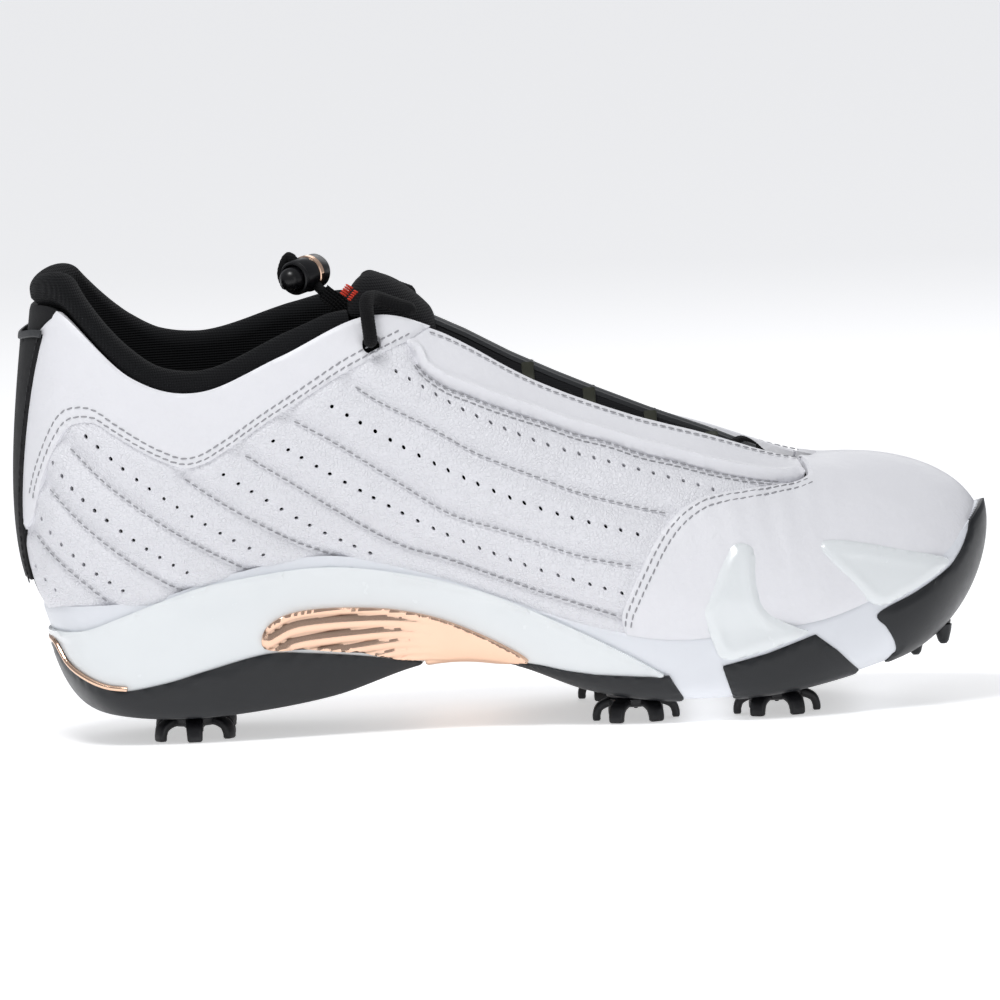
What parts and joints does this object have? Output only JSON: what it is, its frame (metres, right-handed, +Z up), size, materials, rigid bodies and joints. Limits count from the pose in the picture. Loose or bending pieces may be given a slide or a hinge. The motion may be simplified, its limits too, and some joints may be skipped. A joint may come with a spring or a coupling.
{
  "type": "golf shoe",
  "caption": "Low golf shoe with leather panels, padded collar, webbing-loop lacing with a cord lock, cupped sole pods and twist-out soft spikes.",
  "frame": {"origin": "centre of the shoe's length and width, on the ground under the spike tips", "axes": "+X towards the toe, +Y towards the outer (lateral) side of a left foot, +Z up"},
  "size_m": [0.3028, 0.1106, 0.1485],
  "materials": {
    "white_leather": "smooth full-grain, satin",
    "grain_leather": "tumbled grain, quilted and perforated",
    "white_plastic": "moulded, glossy",
    "white_foam": "moulded foam, satin",
    "black_knit": "padded knit",
    "black_neoprene": "smooth coated cloth",
    "ribbed_cloth": "ribbed along its length",
    "grey_trim": "smooth binding",
    "lace_cloth": "round knitted cord",
    "olive_webbing": "satin webbing",
    "copper": "bright rose copper plating",
    "charcoal_rubber": "satin moulded rubber",
    "spike_plastic": "satin moulded plastic",
    "socket_plastic": "moulded plastic",
    "insole_board": "pressed fibre board",
    "sockliner_cloth": "cloth-topped foam",
    "stiffener": "stiffened felt",
    "gloss_black": "polished",
    "spring_steel": "drawn wire"
  },
  "bodies": {
    "shoe": {"heel_panel": "black_neoprene", "vamp": "white_leather", "heel_pull_tab": "black_neoprene", "heel_counter": "stiffener", "toe_puff": "stiffener", "bootie_rear": "black_knit", "bootie_waist": "black_knit", "bootie_front": "black_knit", "insole_board": "insole_board", "sockliner": "sockliner_cloth", "collar_roll": "black_knit", "tongue": "ribbed_cloth", "tongue_top_pad": "black_knit", "tongue_spine": "grey_trim", "lace_lower_strand": "lace_cloth", "lace_upper_strand": "lace_cloth", "lace_tail": "lace_cloth", "medial_side_cord": "lace_cloth", "lateral_side_cord": "lace_cloth", "heel_outsole": "charcoal_rubber", "rear_forefoot_outsole": "charcoal_rubber", "mid_forefoot_outsole": "charcoal_rubber", "toe_outsole": "charcoal_rubber", "shank_plate": "copper", "sidewall_carrier": "white_plastic", "midsole": "white_foam", "medial_collar_panel": "white_leather", "medial_eyestay": "grain_leather", "medial_quarter": "grain_leather", "medial_rear_claw": "white_plastic", "medial_front_claw": "white_plastic", "medial_lace_loop_1": "olive_webbing", "medial_lace_loop_2": "olive_webbing", "medial_lace_loop_3": "olive_webbing", "medial_lace_loop_4": "olive_webbing", "lateral_collar_panel": "white_leather", "lateral_eyestay": "grain_leather", "lateral_quarter": "grain_leather", "lateral_rear_claw": "white_plastic", "lateral_front_claw": "white_plastic", "lateral_lace_loop_1": "olive_webbing", "lateral_lace_loop_2": "olive_webbing", "lateral_lace_loop_3": "olive_webbing", "lateral_lace_loop_4": "olive_webbing", "spike_socket_1": "socket_plastic", "spike_socket_2": "socket_plastic", "spike_socket_3": "socket_plastic", "spike_socket_4": "socket_plastic", "spike_socket_5": "socket_plastic", "spike_socket_6": "socket_plastic"},
    "spike_1": {"spike_1": "spike_plastic"},
    "spike_2": {"spike_2": "spike_plastic"},
    "spike_3": {"spike_3": "spike_plastic"},
    "spike_4": {"spike_4": "spike_plastic"},
    "spike_5": {"spike_5": "spike_plastic"},
    "spike_6": {"spike_6": "spike_plastic"},
    "cord_lock": {"cord_lock_barrel": "gloss_black", "cord_lock_spring": "spring_steel"},
    "cord_lock_button": {"cord_lock_button": "gloss_black"}
  },
  "joints": [
    {"name": "spike_1_twist", "type": "hinge", "parent": "shoe", "child": "spike_1", "pos_m": [-0.099, -0.02, 0.0078], "axis": [0, 0, -1], "range_deg": [0, 90]},
    {"name": "spike_2_twist", "type": "hinge", "parent": "shoe", "child": "spike_2", "pos_m": [-0.099, 0.013, 0.0078], "axis": [0, 0, -1], "range_deg": [0, 90]},
    {"name": "spike_3_twist", "type": "hinge", "parent": "shoe", "child": "spike_3", "pos_m": [0.039, -0.03, 0.0078], "axis": [0, 0, -1], "range_deg": [0, 90]},
    {"name": "spike_4_twist", "type": "hinge", "parent": "shoe", "child": "spike_4", "pos_m": [0.035, 0.032, 0.0078], "axis": [0, 0, -1], "range_deg": [0, 90]},
    {"name": "spike_5_twist", "type": "hinge", "parent": "shoe", "child": "spike_5", "pos_m": [0.083, -0.031, 0.0078], "axis": [0, 0, -1], "range_deg": [0, 90]},
    {"name": "spike_6_twist", "type": "hinge", "parent": "shoe", "child": "spike_6", "pos_m": [0.08, 0.028, 0.0078], "axis": [0, 0, -1], "range_deg": [0, 90]},
    {"name": "cord_lock_slide", "type": "slide", "parent": "shoe", "child": "cord_lock", "axis": [0.6431, -0.3575, -0.6772], "range_m": [0, 0.003]},
    {"name": "cord_lock_press", "type": "slide", "parent": "cord_lock", "child": "cord_lock_button", "axis": [0.5635, 0.8197, 0.1025], "range_m": [0, 0.002], "stiffness_N_per_m": 400, "deforming": ["cord_lock_spring"]}
  ]
}
